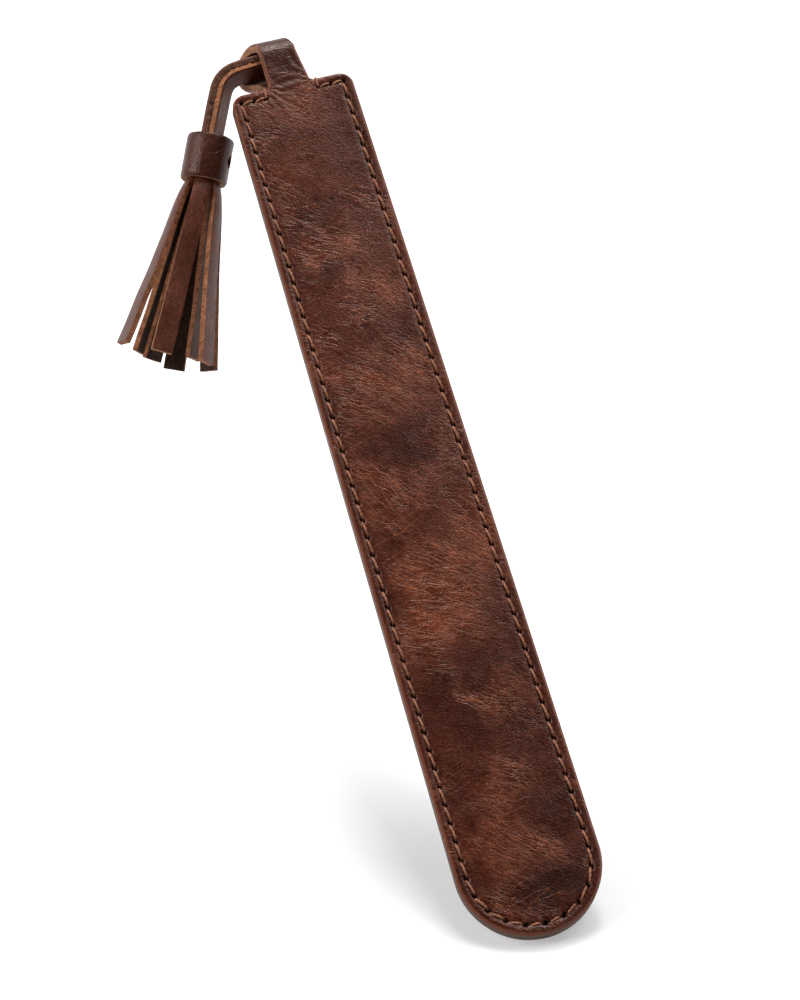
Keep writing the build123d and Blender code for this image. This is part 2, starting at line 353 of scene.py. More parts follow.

# %% [markdown]
# The grain side is a waxed pull-up leather. Where it was bent the wax has moved and the leather is lighter
# and redder; elsewhere it is dark. Large noises cloud it, soft patches carry the red where this strip was
# worn and deepen the brown where it was not, and creases show as paler lines in the worn places. One red
# patch on the right stands in for sheen as painted light, and dark patches on the tab and at the round end
# are painted shade. Masks made with each mesh paint shade into the stitch holes and lighten the rim along
# the bevel, partly as the worn edge's paler leather and partly as a painted highlight.

# %% Wear and lines
drift_cells, drift_reach = 95.0, 0.016


def wear_masks(tree, spot, clouds, patches):
    """Wax moved and deep brown, with painted sheen and shade among them, and coordinates that drift for soft
    outlines.
    """
    drifted = vector(tree, "ADD", spot, wander(tree, spot, drift_cells, 3.0, drift_reach))
    worn = spread(tree, clouds, 0.54, 0.76, 0.0, 0.35)
    for x, z, across, along, wear in patches:
        offset = vector(tree, "SUBTRACT", drifted, (x * MM, 0, z * MM))
        scaled = vector(tree, "MULTIPLY", offset, (1 / (across * MM), 0, 1 / (along * MM)))
        worn = plus(tree, worn, spread(tree, vector(tree, "LENGTH", scaled), 0.1, 1.0, wear, 0.0))
    deep = larger(tree, times(tree, worn, -1.0), 0.0)
    return larger(tree, worn, 0.0), deep, drifted


def line_masks(tree, spot, clouds, drifted, worn, turn):
    """Creases, finer creases and scratches together, and the bundles that the creases gather in."""
    creases = place(tree, crease_group, {"Vector": spot, "Turn": turn})
    bundled = calculate(tree, "MULTIPLY_ADD", creases["Bundles"], 0.55, 0.45)
    folds = spread(tree, cloud(tree, drifted, 85.0), 0.46, 0.68, 0.10, 0.70)
    folded = times(tree, plus(tree, folds, times(tree, worn, 1.1)), bundled)
    coarse = times(tree, creases["Lines"], calculate(tree, "MINIMUM", folded, 1.0))
    finer = {"Turn": turn + 0.5, "Along": 340.0, "Across": 1300.0, "Stir": 0.0010, "Width": 0.06}
    fine = place(tree, crease_group, {"Vector": spot} | finer)["Lines"]
    fine = times(tree, fine, plus(tree, times(tree, folded, 0.35), 0.10))
    longer = {"Turn": 0.35, "Along": 24.0, "Across": 330.0, "Stir": 0.0020, "Width": 0.010}
    scratches = place(tree, crease_group, {"Vector": spot} | longer)["Lines"]
    scratches = times(tree, scratches, spread(tree, clouds, 0.45, 0.6, 0.0, 0.6))
    return larger(tree, larger(tree, coarse, fine), scratches), bundled


# %% Grain leather
crease_tan = (0.270, 0.072, 0.029, 1)
# Painted shade: the stitch holes are coloured near black.
painted_hole_shade = (0.006, 0.003, 0.002, 1)
waxed_tint = (1.0, 0.80, 0.72, 1)
grain_depth = 0.00013
deepest_share = 0.55


def new_material(name):
    """A material, its tree, its shader's inputs and the object's own coordinates."""
    material = bpy.data.materials.new(name)
    material.use_nodes = True
    tree = material.node_tree
    return material, tree, tree.nodes["Principled BSDF"].inputs, put(tree, "TexCoord").outputs["Object"]


def raise_surface(tree, shader, relief, depth):
    """Lets a height show as relief."""
    bump = put(tree, "Bump", {"Strength": 0.8, "Distance": depth, "Height": relief})
    tree.links.new(bump.outputs["Normal"], shader["Normal"])


def leather_material(name, dark, mid, rust, patches=(), turn=-0.72, line_amount=0.95, gloss=0.27):
    """The grain side; patches are (x, z, reach across, reach along, wear) in millimetres, dark below 0."""
    material, tree, shader, spot = new_material(name)
    clouds = cloud(tree, spot, 48.0, 5.0, 0.58)
    mottle = cloud(tree, spot, 210.0, 6.0, 0.65)
    worn, deep, drifted = wear_masks(tree, spot, clouds, patches)
    lines, bundled = line_masks(tree, spot, clouds, drifted, worn, turn)
    worn = times(tree, worn, spread(tree, mottle, 0.28, 0.62, 0.35, 1.0))
    worn = calculate(tree, "MINIMUM", times(tree, worn, bundled), 1.0)
    grain = place(tree, grain_group, {"Vector": spot, "Turn": turn})
    rim = put(tree, "Attribute", attribute_name="rim").outputs["Fac"]
    pit = put(tree, "Attribute", attribute_name="pit").outputs["Fac"]

    tone = plus(tree, times(tree, clouds, 0.6), times(tree, mottle, 0.4))
    deepest = [part * deepest_share for part in dark]
    colour = mix(tree, spread(tree, tone, 0.34, 0.66), (*dark, 1), (*mid, 1))
    colour = mix(tree, times(tree, deep, 0.85), colour, (*deepest, 1))
    colour = mix(tree, worn, colour, (*rust, 1))
    colour = mix(tree, times(tree, lines, line_amount), colour, crease_tan)
    # Pores vary the tone at random; the grain height paints shade in the hollows and light on the pebbles'
    # tops.
    colour = shade(tree, colour, times(tree, spread(tree, grain["Tone"], 0.3, 0.7, 0.76, 1.20),
                                       spread(tree, grain["Height"], 0.3, 1.0, 0.74, 1.20)))
    # The rim gets paler worn leather and a painted highlight along the bevel.
    colour = mix(tree, times(tree, rim, 0.55), colour, crease_tan)
    # Painted shade in the stitch holes.
    tree.links.new(mix(tree, pit, colour, painted_hole_shade), shader["Base Color"])

    rough = plus(tree, spread(tree, mottle, 0.3, 0.7, gloss, gloss + 0.12), times(tree, worn, 0.05))
    tree.links.new(plus(tree, rough, times(tree, pit, 0.4)), shader["Roughness"])
    shader["Specular IOR Level"].default_value = 0.36
    shader["Specular Tint"].default_value = waxed_tint
    relief = plus(tree, times(tree, grain["Height"], 0.42), times(tree, lines, 0.75))
    raise_surface(tree, shader, plus(tree, relief, times(tree, mottle, 0.3)), grain_depth)
    return material


# %% [markdown]
# The same hide gives three finishes: the body with its own worn and dark places, among them painted
# sheen and painted shade, the strands and lace, which are paler and duller, and the sleeve, which is the
# darkest and smoothest.

# %% The three grain leathers
# Patches: (x, z, reach across, reach along, wear) in mm. The last, at (9, -13), is painted sheen on the
# right.
worn_and_sheen_places = [
    (0, 96, 10, 9, 0.60), (-8, 75, 7, 11, 0.40), (-2, 58, 11, 9, 0.75), (4, 47, 9, 10, 0.60),
    (2, 25, 16, 11, 0.60), (-6, 31, 10, 9, 0.25), (-8, 4, 9, 12, 0.50), (0, -21, 15, 16, 1.10),
    (-3, -31, 11, 13, 0.50), (4, -48, 13, 8, 0.50), (-3, -68, 9, 13, 0.40), (-4, -79, 13, 10, 0.55),
    (5, -82, 9, 5, 0.40), (9, -13, 8, 14, 0.65),
]
# Dark patches deepen the hide's brown; the first, on the tab, and the last, at the round end, are painted
# shade.
dark_and_shaded_places = [
    (0, 106, 10, 12, -1.0), (-3, 69, 9, 7, -0.60), (-2, 52, 6, 5, -0.70), (0, 10, 13, 8, -0.60),
    (-5, -41, 10, 7, -0.60), (10, -73, 8, 11, -0.60), (-9, -64, 7, 9, -0.60), (4, -90, 16, 11, -1.2),
]
body_leather = leather_material(
    "pull_up_leather", (0.042, 0.0084, 0.0042), (0.084, 0.0168, 0.0076), (0.195, 0.039, 0.0110),
    worn_and_sheen_places + dark_and_shaded_places)
tassel_leather = leather_material(
    "tassel_leather", (0.072, 0.0185, 0.0095), (0.120, 0.0300, 0.0140), (0.180, 0.043, 0.0150),
    turn=1.1, line_amount=0.90, gloss=0.37)
sleeve_leather = leather_material(
    "sleeve_leather", (0.036, 0.0098, 0.0056), (0.066, 0.0165, 0.0088), (0.120, 0.030, 0.012),
    turn=0.9, line_amount=0.40, gloss=0.30)
print("leathers", body_leather.name, tassel_leather.name, sleeve_leather.name)


# %% Cut edges, flesh and thread
def fibre_material(name, deep, pale, cells, rough, depth, stretch=(1, 1, 1)):
    """A fibrous finish between two colours, its streaks drawn out by the stretch."""
    material, tree, shader, spot = new_material(name)
    drawn = put(tree, "Mapping", {"Vector": spot, "Scale": stretch}).outputs["Vector"]
    fibres = place(tree, fibre_group, {"Vector": drawn, "Scale": cells})
    colour = mix(tree, fibres["Streaks"], (*deep, 1), (*pale, 1))
    colour = shade(tree, colour, spread(tree, fibres["Fuzz"], 0.35, 0.7, 0.62, 1.25))
    tree.links.new(colour, shader["Base Color"])
    tree.links.new(spread(tree, fibres["Fuzz"], 0.3, 0.7, rough, rough + 0.2), shader["Roughness"])
    shader["Specular IOR Level"].default_value = 0.35
    raise_surface(tree, shader, plus(tree, fibres["Streaks"], fibres["Fuzz"]), depth)
    return material


burnished_edge = fibre_material(
    "burnished_edge", (0.070, 0.023, 0.013), (0.145, 0.052, 0.028), 260.0, 0.42, 0.00008, (1, 3.5, 0.35))
# A lighter copy of the raw edge: painted light on the tab's and sleeve's rims, which lie in shade.
lit_raw_edge = fibre_material("lit_raw_edge", (0.260, 0.105, 0.050), (0.480, 0.235, 0.125), 600.0, 0.60, 0.00008)
raw_edge = fibre_material("raw_edge", (0.200, 0.062, 0.022), (0.470, 0.178, 0.074), 700.0, 0.62, 0.00014)
# A darker copy of the raw edge for the outer lace strip: painted shade.
shaded_lace_edge = fibre_material("shaded_lace_edge", (0.060, 0.020, 0.009), (0.220, 0.082, 0.034), 800.0, 0.62, 0.00016)
flesh_side = fibre_material("flesh_side", (0.030, 0.013, 0.0075), (0.095, 0.042, 0.022), 520.0, 0.78, 0.00014)
loop_flesh = fibre_material("loop_flesh", (0.090, 0.040, 0.021), (0.190, 0.088, 0.046), 520.0, 0.75, 0.00014)
waxed_thread = fibre_material(
    "waxed_thread", (0.210, 0.068, 0.033), (0.540, 0.230, 0.128), 1500.0, 0.45, 0.00006)
print("materials", len(bpy.data.materials))


# %% [markdown]
# ## Shaping helpers
#
# A few moves come back in every piece: start from a primitive with nothing else selected, read and write its
# points as a table of numbers, give a sheet its thickness, and finish it. The sheet is always the grain side.
# Solidify grows it inwards, and its material offsets paint flesh and cut edge by themselves.

# %% Points and masks
def read_points(piece):
    """All points of a mesh as rows of x, y, z."""
    points = np.empty(len(piece.data.vertices) * 3)
    piece.data.vertices.foreach_get("co", points)
    return points.reshape(-1, 3)


def write_points(piece, points):
    """Moves the points of a mesh."""
    piece.data.vertices.foreach_set("co", np.asarray(points, dtype=np.float32).ravel())
    piece.data.update()


def keep_mask(piece, name, values):
    """Keeps one number for each point, for materials or later steps."""
    attribute = piece.data.attributes.get(name) or piece.data.attributes.new(name, "FLOAT", "POINT")
    attribute.data.foreach_set("value", np.asarray(values, dtype=np.float32))


def read_mask(piece, name):
    """Reads back the numbers kept for each point."""
    values = np.empty(len(piece.data.vertices))
    piece.data.attributes[name].data.foreach_get("value", values)
    return values


def wave(x, y, z, size):
    """Smooth noise of about the given size, from -1 to 1, for arrays of places in millimetres."""
    return np.array([noise.noise(Vector((a, b, c)) / size) for a, b, c in zip(x, y, z)])


# %% Selecting and turning
def select_only(piece):
    """Selects one piece alone and makes it the active one."""
    bpy.ops.object.select_all(action="DESELECT")
    piece.select_set(True)
    bpy.context.view_layer.objects.active = piece


def edit(piece):
    """Goes into edit mode with one piece."""
    select_only(piece)
    bpy.ops.object.mode_set(mode="EDIT")


def select_edges(piece, wanted):
    """Selects the edges that are wanted, and nothing else, in edit mode."""
    bpy.ops.mesh.select_all(action="DESELECT")
    mesh = bmesh.from_edit_mesh(piece.data)
    for edge in mesh.edges:
        edge.select = wanted(edge)
    bmesh.update_edit_mesh(piece.data)


def turn_over(piece):
    """Turns all faces of a piece to look the other way."""
    edit(piece)
    bpy.ops.mesh.select_all(action="SELECT")
    bpy.ops.mesh.flip_normals()
    bpy.ops.object.mode_set(mode="OBJECT")


# %% Thickness and finish
smooth_angle = radians(40)
grain_slot, flesh_slot, cut_slot, loop_cut_slot = 0, 1, 2, 3


def thicken(piece, thickness, materials, weights=None):
    """Gives a sheet its thickness inwards, with flesh behind and cut edges round it."""
    for material in materials:
        piece.data.materials.append(material)
    solid = piece.modifiers.new("thickness", "SOLIDIFY")
    solid.thickness = thickness
    solid.offset = -1
    solid.material_offset = flesh_slot
    solid.material_offset_rim = cut_slot
    if weights is not None:
        group = piece.vertex_groups.new(name="thickness")
        for index, weight in enumerate(weights):
            group.add([index], float(weight), "REPLACE")
        solid.vertex_group = "thickness"
        solid.thickness_vertex_group = 0
    bpy.context.view_layer.objects.active = piece
    bpy.ops.object.modifier_apply(modifier="thickness")


def finish_piece(piece, slot, *nodes):
    """Scales a piece from millimetres to metres, smooths it and hides the nodes it replaces."""
    piece.data.transform(Matrix.Scale(MM, 4))
    select_only(piece)
    bpy.ops.object.shade_smooth_by_angle(angle=smooth_angle)
    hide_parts(*nodes)
    print(piece.name, "faces", len(piece.data.polygons))


# %% [markdown]
# ## The stitch line
#
# The seam decides how the body looks, so its places are worked out first. It starts beside the tab, follows
# the edge at a fixed inset down the left side, round the end and up the right side. Holes are evenly spaced
# on each run.

# %% Body sizes
body_length = 198.0
end_radius = 15.25
top_width = 27.3
corner_radius = 3.0
leather = 1.9
edge_bevel = 0.5
stitch_inset = 2.2
stitch_pitch = 4.0
shoulder_stitches = 2
tab_width = 9.0
neck_flare = 0.9
stitch_beside_neck = 0.5

top_z = body_length / 2
end_z = end_radius - body_length / 2
front_y = -2 * leather
neck_foot = tab_width / 2 + neck_flare
stitch_neck_x = neck_foot + stitch_beside_neck
stitch_top_z = top_z - stitch_inset
taper = asin(end_radius / hypot(top_width / 2, top_z - end_z)) - atan2(top_width / 2, top_z - end_z)


def side_x(z, inset):
    """Half width of the outline at a height, drawn in from its edge."""
    return (end_radius - inset - (z - end_z) * sin(taper)) / cos(taper)


print("sides taper by", round(taper, 4))

# %% Stitch holes
stitch_radius = end_radius - stitch_inset
stitch_corner = np.array((side_x(stitch_top_z, stitch_inset), stitch_top_z))
stitch_low = np.array((stitch_radius * cos(taper), end_z + stitch_radius * sin(taper)))
mirror_x = np.array((-1, 1))
neck_hole = np.array((stitch_neck_x, stitch_top_z))
end_sweep = pi + 2 * taper
straight_runs = [
    (neck_hole * mirror_x, stitch_corner * mirror_x),
    (stitch_corner * mirror_x, stitch_low * mirror_x),
    (stitch_low, stitch_corner),
    (stitch_corner, neck_hole),
]


def on_run(run, count):
    """Evenly spaced places on a straight run, without its last."""
    start, stop = run
    return [start + (stop - start) * step / count for step in range(count)]


def arc(centre_x, centre_z, radius, turns):
    """Places on a circle at the given turns."""
    return [(centre_x + radius * cos(turn), centre_z + radius * sin(turn)) for turn in turns]


side_count = round(float(np.linalg.norm(stitch_corner - stitch_low)) / stitch_pitch)
end_count = round(stitch_radius * end_sweep / stitch_pitch)
end_turns = [pi - taper + end_sweep * step / end_count for step in range(end_count)]
holes = on_run(straight_runs[0], shoulder_stitches) + on_run(straight_runs[1], side_count)
holes += arc(0, end_z, stitch_radius, end_turns)
holes += on_run(straight_runs[2], side_count) + on_run(straight_runs[3], shoulder_stitches) + [neck_hole]
holes = np.array(holes)
headings = np.gradient(holes, axis=0)
headings /= np.linalg.norm(headings, axis=1)[:, None]
print("stitch holes", len(holes))

# %% Distance from seam and holes
hole_long, hole_wide = 0.48, 0.42
hole_slant = 0.35
hole_search = 2


def stitch_distance(x, z):
    """Distance of each place from the stitch line."""
    places = np.stack((x, z), axis=1)
    found = np.full(len(places), np.inf)
    for start, stop in straight_runs:
        along = stop - start
        share = np.clip((places - start) @ along / (along @ along), 0, 1)
        found = np.minimum(found, np.linalg.norm(places - start - share[:, None] * along, axis=1))
    below = z < end_z
    round_end = np.abs(np.hypot(x, z - end_z) - stitch_radius)
    return np.where(below, np.minimum(found, round_end), found)


def hole_depth(x, z):
    """How far each place is inside a stitch hole, from 0 outside to 1 in its middle."""
    found = np.zeros(len(x))
    for hole, heading in zip(holes, headings):
        near = np.nonzero((np.abs(x - hole[0]) < hole_search) & (np.abs(z - hole[1]) < hole_search))[0]
        dx, dz = x[near] - hole[0], z[near] - hole[1]
        along = dx * heading[0] + dz * heading[1]
        aside = dz * heading[0] - dx * heading[1]
        slanted = aside - hole_slant * along
        depth = np.exp(-((along / hole_long) ** 2 + (slanted / hole_wide) ** 2) ** 2)
        found[near] = np.maximum(found[near], depth)
    return found


# %% [markdown]
# ## Front and back layers
#
# A layer starts as a circle with as many corners as the outline has points. Its corners are moved to the
# outline, the face is inset ring by ring so that rows of faces run along the edge and the seam, and the last
# rings close on the strip's middle line. The front's neck edges are then extruded into the tab, still flat,
# as the leather was cut. Bending the tab and pressing in the seam come after.

# %% Outline
along_points = 560
corner_points = 10
shoulder_points = 12
neck_points = 56
neck_crowding = 0.4
corner_z = top_z - corner_radius
corner_x = side_x(corner_z, corner_radius)


def layer_outline():
    """Outline points, anticlockwise seen from the front, from the middle of the top right corner."""
    turns = [pi / 4 + radians(45) * step / corner_points for step in range(corner_points)]
    right_corner = arc(corner_x, corner_z, corner_radius, turns)
    right_shoulder = [(corner_x + (neck_foot - corner_x) * step / shoulder_points, top_z)
                      for step in range(shoulder_points)]
    across = [1 - 2 * step / neck_points for step in range(neck_points // 2)]
    crowded = [(1 - neck_crowding) * share + neck_crowding * sin(share * pi / 2) for share in across]
    half_top = right_corner + right_shoulder + [(neck_foot * share, top_z) for share in crowded]
    top = half_top + [(0, top_z)] + [(-x, z) for x, z in reversed(half_top)]

    left_corner = [(-corner_x - corner_radius * sin(turn), corner_z + corner_radius * cos(turn))
                   for turn in turns]
    high_x = -side_x(corner_z, 0)
    low_x, low_z = -end_radius * cos(taper), end_z + end_radius * sin(taper)
    runs = along_points - corner_points
    side = [(high_x + (low_x - high_x) * step / runs, corner_z + (low_z - corner_z) * step / runs)
            for step in range(runs + 1)]
    left = left_corner[1:] + side
    end_points = len(top) - 1
    end_turns = [pi - taper + end_sweep * step / end_points for step in range(1, end_points)]
    return top + left + arc(0, end_z, end_radius, end_turns) + [(-x, z) for x, z in reversed(left)]


print("outline points", len(layer_outline()))

# %% Flat layer
# Rings of faces lie closest where the edge is rounded and where the seam is pressed in.
ring_insets = [0.25, 0.5, 0.65, 0.9, 1.2, 1.5, 1.7, 1.85, 1.97, 2.08, 2.2, 2.32, 2.43, 2.55, 2.75, 3.0]
spine_rings = 13
spine_top = top_z - top_width / 2
merge_within = 0.004


def flat_layer(name, y):
    """A layer's grain side as a flat sheet facing the front."""
    outline = layer_outline()
    bpy.ops.object.select_all(action="DESELECT")
    bpy.ops.mesh.primitive_circle_add(vertices=len(outline), radius=end_radius, fill_type="NGON")
    layer = bpy.context.object
    layer.name = name
    write_points(layer, [(x, y, z) for x, z in outline])
    edit(layer)
    bpy.ops.mesh.select_all(action="SELECT")
    for before, after in zip([0] + ring_insets, ring_insets):
        bpy.ops.mesh.inset(thickness=after - before, use_even_offset=True)
    for ring in range(spine_rings, 0, -1):
        bpy.ops.mesh.inset(thickness=0)
        mesh = bmesh.from_edit_mesh(layer.data)
        for vertex in mesh.verts:
            if vertex.select:
                spine = Vector((0, y, min(max(vertex.co.z, end_z), spine_top)))
                vertex.co = vertex.co.lerp(spine, 1 / ring)
        bmesh.update_edit_mesh(layer.data)
    bpy.ops.mesh.delete(type="FACE")
    bpy.ops.mesh.select_all(action="SELECT")
    bpy.ops.mesh.remove_doubles(threshold=merge_within)
    bpy.ops.object.mode_set(mode="OBJECT")
    return layer


# %% Edge and seam
groove_depth, groove_width = 0.18, 0.48
swell_height, swell_away, swell_width = 0.06, 1.15, 0.5
crown_height, crown_side, crown_top = 0.30, 6.0, 9.0
hole_drop = 1.05


def bell(distance, width):
    """A smooth rise round a line, 1 on it and 0 far from it."""
    return np.exp(-((distance / width) ** 2))


def edge_distance(x, z):
    """Distance of each place from the cut edge of the layer, tab included."""
    flank = np.where(z > end_z, (side_x(z, 0) - np.abs(x)) * cos(taper), end_radius - np.hypot(x, z - end_z))
    in_corner = (np.abs(x) > corner_x) & (z > corner_z)
    flank = np.where(in_corner, corner_radius - np.hypot(np.abs(x) - corner_x, z - corner_z), flank)
    beside = np.where(np.abs(x) > neck_foot, top_z - z, np.hypot(neck_foot - np.abs(x), top_z - z))
    return np.clip(np.minimum(flank, beside), 0, None)


def seam_relief(x, z):
    """Drop of the grain side along the seam, and the mask of its holes."""
    away = stitch_distance(x, z)
    pit = hole_depth(x, z)
    groove = groove_depth * bell(away, groove_width)
    swell = swell_height * bell(away - swell_away, swell_width)
    within = np.clip(side_x(np.maximum(z, end_z), stitch_inset) - np.abs(x), 0, None)
    crown = crown_height * (1 - bell(within, crown_side)) * (1 - bell(top_z - z, crown_top))
    return groove - swell - crown + hole_drop * pit, pit


# %% [markdown]
# The tab goes up the front, over the lace and back down between the layers, where its thinned tail is glued.
# Its middle line is a straight leg, most of a circle, a short straight and a small reverse bend. Every flat
# point above the neck moves to the same length along that line, and the loop leans to the left as it goes
# round, as the real one does.

# %% Loop path
crown_width = 8.0
crown_rounding = 1.5
loop_height = 13.25
loop_bore_radius = 3.3
loop_return_radius = 2.0
loop_slant = 0.6
tail_thickness = 0.9
tail_seat = 0.25
tail_shown = 3.0

crown_radius = loop_bore_radius + leather / 2
strip_y = front_y + leather / 2
loop_y = strip_y + crown_radius
loop_z = top_z + loop_height - crown_radius - leather / 2
return_dy = -leather / 2 + loop_return_radius - loop_y
return_dz = top_z + tail_seat - loop_z
return_turn = asin((crown_radius + loop_return_radius) / hypot(return_dy, return_dz))
return_heading = atan2(return_dz, return_dy) - return_turn
loop_path = [
    (loop_z - top_z, 0),
    (crown_radius * (pi / 2 - return_heading), -crown_radius),
    (hypot(return_dy, return_dz) * cos(return_turn), 0),
    (loop_return_radius * (-pi / 2 - return_heading), loop_return_radius),
    (tail_shown, 0),
]
loop_length = sum(run for run, _ in loop_path)


def loop_place(length):
    """Place and heading of the strip's middle line at a length from the top edge, in the YZ plane."""
    y, z, heading = strip_y, top_z, pi / 2
    for run, bend_radius in loop_path:
        step = min(max(length, 0), run)
        if bend_radius == 0:
            y, z = y + step * cos(heading), z + step * sin(heading)
        else:
            turn = step / bend_radius
            y += bend_radius * (sin(heading + turn) - sin(heading))
            z -= bend_radius * (cos(heading + turn) - cos(heading))
            heading += turn
        length -= run
        if length <= 0:
            break
    return y, z, heading


print("tab length", round(loop_length, 1), "ends at", [round(value, 2) for value in loop_place(loop_length)])

# %% Cut the front with its tab
tab_rows = 80
close_by = 0.01


def at_neck(edge):
    """Whether an edge lies on the rim that the tab grows from."""
    low, reach = top_z - close_by, neck_foot + close_by
    return edge.is_boundary and all(end.co.z > low and abs(end.co.x) < reach for end in edge.verts)


front = flat_layer("front_layer", front_y)
edit(front)
select_edges(front, at_neck)
for _ in range(tab_rows):
    bpy.ops.mesh.extrude_edges_move(TRANSFORM_OT_translate={"value": (0, 0, loop_length / tab_rows)})
bpy.ops.object.mode_set(mode="OBJECT")

flat = read_points(front)
flat_x, flat_z = flat[:, 0].copy(), flat[:, 2].copy()
above = flat_z - top_z
on_tab = above > 0
neck = np.clip(neck_flare - above, 0, neck_flare)
half_width = tab_width / 2 + neck_flare - np.sqrt(neck_flare ** 2 - neck ** 2)
flat_x[on_tab] *= half_width[on_tab] / neck_foot
edge_gap = np.where(on_tab, half_width - np.abs(flat_x), edge_distance(flat_x, flat_z))
narrowing = np.clip((above - neck_flare) / (loop_z - top_z - neck_flare), 0, 1) * (tab_width - crown_width)
right_share = np.clip(flat_x / half_width + 1, 0, 2) / 2
flat_x[on_tab] -= (narrowing * right_share)[on_tab]
print("front points", len(flat), "of which on the tab", int(on_tab.sum()))

# %% Bend the tab
skive_run = 1.0
tail_gap = 0.05
crown_start = 1.0
bent = np.stack((flat_x, np.full(len(flat), front_y), flat_z), axis=1)
inwards = np.tile((0.0, 1.0, 0.0), (len(flat), 1))
strength = np.ones(len(flat))
tail_start = loop_length - tail_shown
for index in np.nonzero(on_tab)[0]:
    y, z, heading = loop_place(above[index])
    thinned = min(max((above[index] - tail_start + skive_run) / skive_run, 0), 1)
    outwards = leather / 2 - thinned * (leather - tail_thickness + tail_gap)
    inwards[index] = (0, sin(heading), -cos(heading))
    bent[index, 1] = y - outwards * sin(heading)
    bent[index, 2] = z + outwards * cos(heading)
    crown_rise = bent[index, 2] - loop_z - crown_start
    peak = min(max(crown_rise / (crown_radius + leather / 2 - crown_start), 0), 1)
    bent[index, 0] -= crown_rounding * peak * peak * right_share[index]
    bent[index, 0] -= loop_slant * max(bent[index, 1] + leather, 0)
    strength[index] = 1 - thinned * (1 - tail_thickness / leather)
write_points(front, bent)

flat_masks = {"flat_x": flat_x, "flat_z": flat_z, "edge_gap": edge_gap}
flat_masks |= {"inwards_" + label: inwards[:, axis] for axis, label in enumerate("xyz")}
for label, values in flat_masks.items():
    keep_mask(front, label, values)
thicken(front, leather, [body_leather, loop_flesh, burnished_edge, lit_raw_edge], strength)
print("front points with the flesh side", len(front.data.vertices))

# %% [markdown]
# With the shape closed, only the grain side is worked: edges rounded, seam pressed in, and the leather
# puckered where the tab leaves the body, in folds that fan out from both corners of the neck.

# %% Press the seam and pucker the neck
calm_width = 1.5
sway_height, sway_size = 0.05, 9.0
ripple_height, ripple_size = 0.028, 2.6
rim_wider, rim_fade = 0.12, 0.2
fold_height, fold_rate, fold_reach, fold_start = 0.075, 13, 8.0, 1.5
fold_stir, fold_stir_size = 2.2, 3.0


def grain_points(piece):
    """The points that belong to the grain side, as a mask."""
    found = np.zeros(len(piece.data.vertices), dtype=bool)
    for face in piece.data.polygons:
        if face.material_index == grain_slot:
            found[list(face.vertices)] = True
    return found


def neck_folds(x, z):
    """Folds that fan out from the two corners where the tab leaves the body."""
    total = np.zeros(len(x))
    for corner in (-neck_foot, neck_foot):
        reach = np.hypot(x - corner, z - top_z)
        around = np.arctan2(z - top_z, (x - corner) * -np.sign(corner))
        stirred = around * fold_rate + fold_stir * wave(x, z, reach, fold_stir_size)
        total += np.sin(stirred) * bell(reach, fold_reach) * np.clip(reach / fold_start, 0, 1)
    return total


def dress_layer(piece, flat_x, flat_z, edge_gap, inwards, folds):
    """Rounds the edge, presses in the seam and lets the leather rise and fall a little."""
    grain = grain_points(piece)
    seam, pit = seam_relief(flat_x, flat_z)
    on_body = flat_z <= top_z
    calm = np.clip(edge_gap / calm_width, 0, 1)
    drop = np.clip(edge_bevel - edge_gap, 0, None) + np.where(on_body, seam, 0)
    sway = sway_height * calm * wave(flat_x, flat_z, flat_z * 0, sway_size)
    drop += sway + ripple_height * calm * wave(flat_x, flat_z, flat_x, ripple_size)
    drop += folds * calm
    write_points(piece, read_points(piece) + np.where(grain, drop, 0)[:, None] * inwards)
    # The pit mask carries painted shade into the stitch holes.
    keep_mask(piece, "pit", np.where(grain & on_body, pit, 0))
    # The rim mask lightens the grain along the bevel: paler worn leather and a painted highlight.
    rim = np.clip((edge_bevel + rim_wider - edge_gap) / rim_fade, 0, 1)
    keep_mask(piece, "rim", np.where(grain, rim, 0))


# %% Front layer
loop_edge_above = 0.2
masks = {label: read_mask(front, label) for label in flat_masks}
flat_x, flat_z = masks["flat_x"], masks["flat_z"]
inwards = np.stack([masks["inwards_" + label] for label in "xyz"], axis=1)
dress_layer(front, flat_x, flat_z, masks["edge_gap"], inwards, fold_height * neck_folds(flat_x, flat_z))
# The tab's cut edges take the lighter raw edge: painted light.
for face in front.data.polygons:
    if face.material_index == cut_slot and flat_z[face.vertices[0]] > top_z + loop_edge_above:
        face.material_index = loop_cut_slot
for label in flat_masks:
    front.data.attributes.remove(front.data.attributes[label])
finish_piece(front, "panel_leather", "front_panel")
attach(front, "bookmark")

# %% [markdown]
# The back layer is the same outline turned round, without the tab. Its edge is extruded to the middle of the
# body and filled, and a shallow pocket at the top takes the loop's tail.

# %% Back layer
pocket_clearance = 0.1
pocket_left = tab_width / 2 + loop_slant * tail_thickness + pocket_clearance
pocket_right = tab_width / 2 + pocket_clearance
pocket_depth = tail_thickness + pocket_clearance
back = flat_layer("back_layer", 0)
turn_over(back)
edit(back)
select_edges(back, lambda edge: edge.is_boundary)
bpy.ops.mesh.extrude_edges_move(TRANSFORM_OT_translate={"value": (0, -leather, 0)})
mesh = bmesh.from_edit_mesh(back.data)
for vertex in mesh.verts:
    in_pocket = -pocket_left < vertex.co.x < pocket_right and vertex.co.z > top_z - close_by
    if vertex.select and in_pocket:
        vertex.co.y += pocket_depth
bmesh.update_edit_mesh(back.data)
bpy.ops.mesh.edge_face_add()
bpy.ops.object.mode_set(mode="OBJECT")
for material in (body_leather, flesh_side, burnished_edge):
    back.data.materials.append(material)
for face in back.data.polygons:
    if abs(face.normal.y) < 0.5:
        face.material_index = cut_slot
    elif len(face.vertices) > 4:
        face.material_index = flesh_slot
points = read_points(back)
inwards = np.tile((0.0, -1.0, 0.0), (len(points), 1))
dress_layer(back, points[:, 0], points[:, 2], edge_distance(points[:, 0], points[:, 2]), inwards, 0)
finish_piece(back, "panel_leather", "back_panel")
